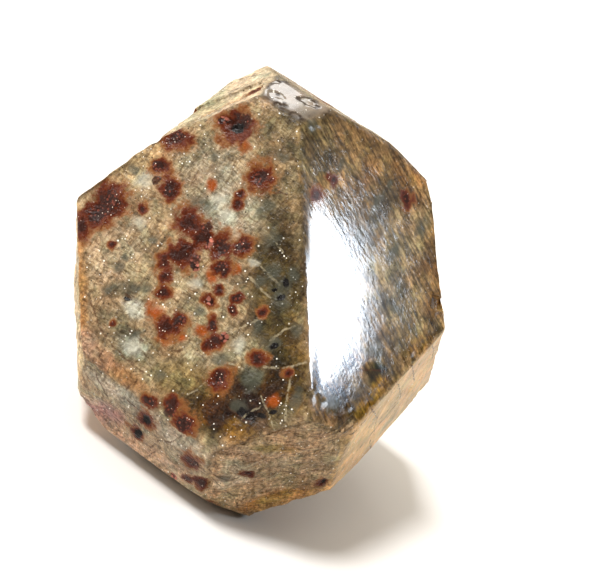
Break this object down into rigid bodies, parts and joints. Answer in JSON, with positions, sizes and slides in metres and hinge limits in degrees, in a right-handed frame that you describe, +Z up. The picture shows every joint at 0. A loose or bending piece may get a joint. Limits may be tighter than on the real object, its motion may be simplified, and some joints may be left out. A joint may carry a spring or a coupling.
{
  "type": "zircon crystal",
  "caption": "Loose zircon crystal, a stout square prism with pyramid ends and broken corners, that lies on its slanting lower break as a mineral specimen.",
  "frame": {"origin": "middle of the crystal's bounding box in plan, at the height of the surface that it rests on", "axes": "+Z up, square to the resting break; the two large pyramid faces look towards -Y"},
  "size_m": [0.0418, 0.0452, 0.0408],
  "materials": {
    "zircon": "mottled grey-beige to brown zircon, mostly opaque, glassy on grown faces and rough on breaks, with rust-brown spots"
  },
  "bodies": {
    "root": {"zircon_crystal": "zircon"}
  },
  "joints": []
}
